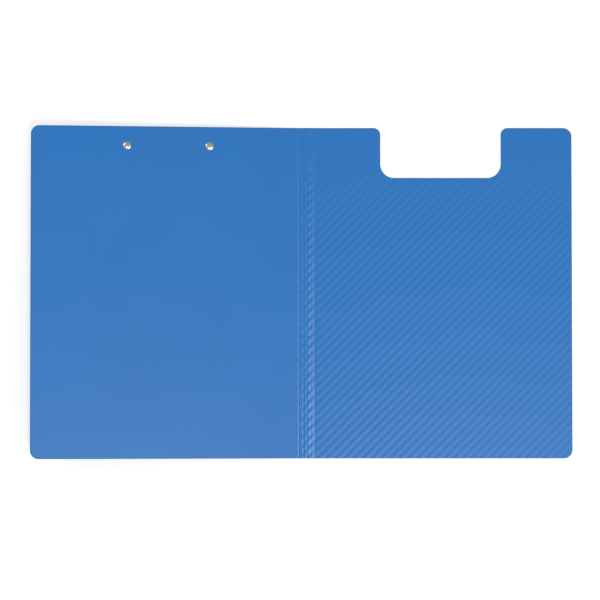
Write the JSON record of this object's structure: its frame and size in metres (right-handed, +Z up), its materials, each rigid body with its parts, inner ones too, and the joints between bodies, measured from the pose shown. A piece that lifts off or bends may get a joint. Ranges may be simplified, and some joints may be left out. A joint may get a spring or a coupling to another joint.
{
  "type": "clipboard folder",
  "caption": "Fold-over clipboard for A4 paper: a stiff back board with a riveted lever clip, a scored folding spine, and a cover notched to clear the clip.",
  "frame": {"origin": "under the middle of the open folder's outline, at the height of the surface that it lies on", "axes": "+X across the open folder from the back board to the cover, +Y up the page to the clip end, +Z up from the surface to the outer faces"},
  "size_m": [0.5052, 0.31, 0.0315],
  "materials": {
    "board_plastic": "blue polypropylene sheet with a fine diagonal embossed grain",
    "spine_plastic": "blue polypropylene sheet, scored and pressed",
    "cover_plastic": "blue polypropylene sheet with a fine diagonal embossed grain",
    "fold_plastic": "thin scored web",
    "rivet_metal": "nickel-plated, smooth",
    "clip_metal": "nickel-plated pressed steel",
    "jaw_metal": "bright nickel-plated pressed steel",
    "pin_metal": "plated steel rod",
    "spring_metal": "drawn spring wire",
    "tip_plastic": "soft black plastic cap"
  },
  "bodies": {
    "board": {"back_board": "board_plastic", "board_crease": "fold_plastic", "clip_base": "clip_metal", "clip_pin": "pin_metal", "clip_rivets": "rivet_metal", "spring_left": "spring_metal", "spring_right": "spring_metal"},
    "spine": {"spine_strip": "spine_plastic", "cover_crease": "fold_plastic"},
    "cover": {"front_cover": "cover_plastic"},
    "jaw": {"clip_jaw": "jaw_metal", "grip_tip_left": "tip_plastic", "grip_tip_right": "tip_plastic"}
  },
  "joints": [
    {"name": "board_fold", "type": "hinge", "parent": "board", "child": "spine", "pos_m": [-0.00223, 0, 0.0009], "axis": [0, 1, 0], "range_deg": [-83.23, 96.77], "deforming": ["board_crease"]},
    {"name": "cover_fold", "type": "hinge", "parent": "spine", "child": "cover", "pos_m": [0.01157, 0, 0.0009], "axis": [0, 1, 0], "range_deg": [-90, 90], "deforming": ["cover_crease"]},
    {"name": "clip_pivot", "type": "hinge", "parent": "board", "child": "jaw", "pos_m": [-0.12621, 0.1305, 0.01009], "axis": [0.993, 0, -0.1179], "range_deg": [0, 24], "stiffness_Nm_per_rad": 0.25, "springref_deg": -45.84, "deforming": ["spring_left", "spring_right"]}
  ]
}
